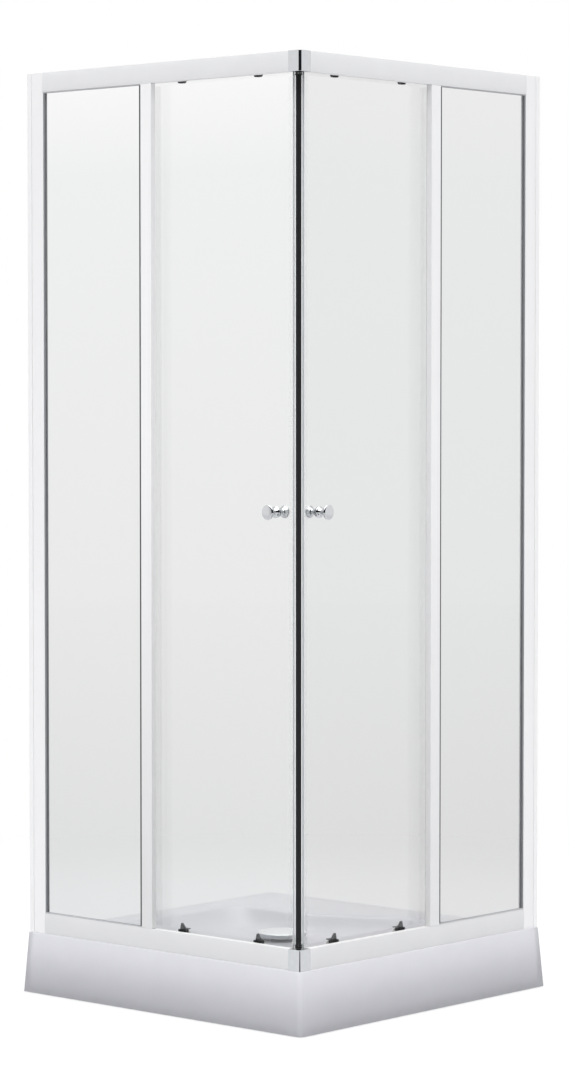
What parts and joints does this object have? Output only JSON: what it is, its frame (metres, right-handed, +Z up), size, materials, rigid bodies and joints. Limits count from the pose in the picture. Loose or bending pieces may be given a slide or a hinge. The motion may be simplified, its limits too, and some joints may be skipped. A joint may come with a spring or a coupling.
{
  "type": "corner shower cabin",
  "caption": "Square corner shower enclosure on a raised tray, with two fixed glass panes and two sliding glass doors that meet at the open corner with magnetic strips.",
  "frame": {"origin": "centre of the square tray on the floor, under the middle of its footprint", "axes": "+Z up; the front face looks along -Y and the side face along +X; the room walls are at -X and +Y"},
  "size_m": [0.8, 0.8, 1.98],
  "materials": {
    "tray_acrylic": "smooth white sanitary acrylic, glass fibre backed",
    "board": "bare chipboard",
    "zinc_steel": "zinc plated steel",
    "foot_rubber": "black rubber",
    "waste_chrome": "chrome plated",
    "seal_rubber": "dark rubber",
    "trap_plastic": "white polypropylene",
    "cover_plastic": "chrome plated moulded plastic",
    "white_aluminium": "white powder coated aluminium",
    "rail_aluminium": "white powder coated aluminium",
    "screw_steel": "stainless steel",
    "joint_chrome": "chrome plated zinc casting",
    "clear_glass": "clear toughened glass",
    "gasket_rubber": "grey glazing gasket",
    "clear_profile": "translucent extruded PVC",
    "magnet_black": "black magnetic rubber",
    "knob_chrome": "polished chrome",
    "roller_black": "black moulded nylon",
    "spring_steel": "spring steel",
    "wheel_acetal": "acetal wheel"
  },
  "bodies": {
    "cabin": {"shower_tray": "tray_acrylic", "tray_board": "board", "support_bars": "zinc_steel", "foot_rods": "zinc_steel", "foot_pads": "foot_rubber", "foot_nuts": "zinc_steel", "waste_flange": "waste_chrome", "waste_gasket": "seal_rubber", "trap_body": "trap_plastic", "trap_nut": "trap_plastic", "outlet_pipe": "trap_plastic", "wall_channel_front": "white_aluminium", "wall_channel_side": "white_aluminium", "side_posts": "white_aluminium", "frame_screws": "screw_steel", "top_rail_front": "rail_aluminium", "top_rail_side": "rail_aluminium", "bottom_rail_front": "rail_aluminium", "bottom_rail_side": "rail_aluminium", "top_corner_joint": "joint_chrome", "bottom_corner_joint": "joint_chrome", "fixed_pane_front": "clear_glass", "fixed_pane_side": "clear_glass", "fixed_stiles": "white_aluminium", "pane_gaskets": "gasket_rubber", "rail_stops": "seal_rubber"},
    "drain_cover": {"drain_cover": "cover_plastic"},
    "door_front": {"door_pane_front": "clear_glass", "trailing_profile_front": "clear_profile", "closing_profile_front": "clear_profile", "magnet_front": "magnet_black", "outer_knob_front": "knob_chrome", "inner_knob_front": "knob_chrome", "door_fixings_front": "screw_steel", "roller_blocks_front": "roller_black", "roller_brackets_front": "roller_black", "roller_springs_front": "spring_steel"},
    "door_side": {"door_pane_side": "clear_glass", "trailing_profile_side": "clear_profile", "closing_profile_side": "clear_profile", "magnet_side": "magnet_black", "outer_knob_side": "knob_chrome", "inner_knob_side": "knob_chrome", "door_fixings_side": "screw_steel", "roller_blocks_side": "roller_black", "roller_brackets_side": "roller_black", "roller_springs_side": "spring_steel"},
    "top_wheel_front_rear": {"top_wheel_front_rear": "wheel_acetal"},
    "release_front_rear": {"release_front_rear": "roller_black"},
    "low_wheel_front_rear": {"low_wheel_front_rear": "wheel_acetal"},
    "top_wheel_front_lead": {"top_wheel_front_lead": "wheel_acetal"},
    "release_front_lead": {"release_front_lead": "roller_black"},
    "low_wheel_front_lead": {"low_wheel_front_lead": "wheel_acetal"},
    "top_wheel_side_rear": {"top_wheel_side_rear": "wheel_acetal"},
    "release_side_rear": {"release_side_rear": "roller_black"},
    "low_wheel_side_rear": {"low_wheel_side_rear": "wheel_acetal"},
    "top_wheel_side_lead": {"top_wheel_side_lead": "wheel_acetal"},
    "release_side_lead": {"release_side_lead": "roller_black"},
    "low_wheel_side_lead": {"low_wheel_side_lead": "wheel_acetal"}
  },
  "joints": [
    {"name": "drain_cover_lift", "type": "slide", "parent": "cabin", "child": "drain_cover", "axis": [0, 0, 1], "range_m": [0, 0.06]},
    {"name": "front_door_slide", "type": "slide", "parent": "cabin", "child": "door_front", "axis": [-1, 0, 0], "range_m": [0, 0.3]},
    {"name": "top_wheel_front_rear_spin", "type": "hinge", "parent": "door_front", "child": "top_wheel_front_rear", "pos_m": [0.023, -0.3354, 1.9633], "axis": [0, -1, 0], "range_deg": [0, 1910.86]},
    {"name": "release_front_rear_lift", "type": "slide", "parent": "door_front", "child": "release_front_rear", "axis": [0, 0, 1], "range_m": [0, 0.006], "stiffness_N_per_m": 500, "springref_m": -0.006, "deforming": ["roller_springs_front"]},
    {"name": "low_wheel_front_rear_spin", "type": "hinge", "parent": "release_front_rear", "child": "low_wheel_front_rear", "pos_m": [0.023, -0.3333, 0.1613], "axis": [0, -1, 0], "range_deg": [0, 1910.86]},
    {"name": "top_wheel_front_lead_spin", "type": "hinge", "parent": "door_front", "child": "top_wheel_front_lead", "pos_m": [0.236, -0.3354, 1.9633], "axis": [0, -1, 0], "range_deg": [0, 1910.86]},
    {"name": "release_front_lead_lift", "type": "slide", "parent": "door_front", "child": "release_front_lead", "axis": [0, 0, 1], "range_m": [0, 0.006], "stiffness_N_per_m": 500, "springref_m": -0.006, "deforming": ["roller_springs_front"]},
    {"name": "low_wheel_front_lead_spin", "type": "hinge", "parent": "release_front_lead", "child": "low_wheel_front_lead", "pos_m": [0.236, -0.3333, 0.1613], "axis": [0, -1, 0], "range_deg": [0, 1910.86]},
    {"name": "side_door_slide", "type": "slide", "parent": "cabin", "child": "door_side", "axis": [0, 1, 0], "range_m": [0, 0.3]},
    {"name": "top_wheel_side_rear_spin", "type": "hinge", "parent": "door_side", "child": "top_wheel_side_rear", "pos_m": [0.3354, -0.023, 1.9633], "axis": [-1, 0, 0], "range_deg": [0, 1910.86]},
    {"name": "release_side_rear_lift", "type": "slide", "parent": "door_side", "child": "release_side_rear", "axis": [0, 0, 1], "range_m": [0, 0.006], "stiffness_N_per_m": 500, "springref_m": -0.006, "deforming": ["roller_springs_side"]},
    {"name": "low_wheel_side_rear_spin", "type": "hinge", "parent": "release_side_rear", "child": "low_wheel_side_rear", "pos_m": [0.3333, -0.023, 0.1613], "axis": [-1, 0, 0], "range_deg": [0, 1910.86]},
    {"name": "top_wheel_side_lead_spin", "type": "hinge", "parent": "door_side", "child": "top_wheel_side_lead", "pos_m": [0.3354, -0.236, 1.9633], "axis": [-1, 0, 0], "range_deg": [0, 1910.86]},
    {"name": "release_side_lead_lift", "type": "slide", "parent": "door_side", "child": "release_side_lead", "axis": [0, 0, 1], "range_m": [0, 0.006], "stiffness_N_per_m": 500, "springref_m": -0.006, "deforming": ["roller_springs_side"]},
    {"name": "low_wheel_side_lead_spin", "type": "hinge", "parent": "release_side_lead", "child": "low_wheel_side_lead", "pos_m": [0.3333, -0.236, 0.1613], "axis": [-1, 0, 0], "range_deg": [0, 1910.86]}
  ],
  "couplings": [
    {"joint": "top_wheel_front_rear_spin", "follows": "front_door_slide", "rad_per_m": 111.11},
    {"joint": "low_wheel_front_rear_spin", "follows": "front_door_slide", "rad_per_m": 111.11},
    {"joint": "top_wheel_front_lead_spin", "follows": "front_door_slide", "rad_per_m": 111.11},
    {"joint": "low_wheel_front_lead_spin", "follows": "front_door_slide", "rad_per_m": 111.11},
    {"joint": "top_wheel_side_rear_spin", "follows": "side_door_slide", "rad_per_m": 111.11},
    {"joint": "low_wheel_side_rear_spin", "follows": "side_door_slide", "rad_per_m": 111.11},
    {"joint": "top_wheel_side_lead_spin", "follows": "side_door_slide", "rad_per_m": 111.11},
    {"joint": "low_wheel_side_lead_spin", "follows": "side_door_slide", "rad_per_m": 111.11}
  ]
}
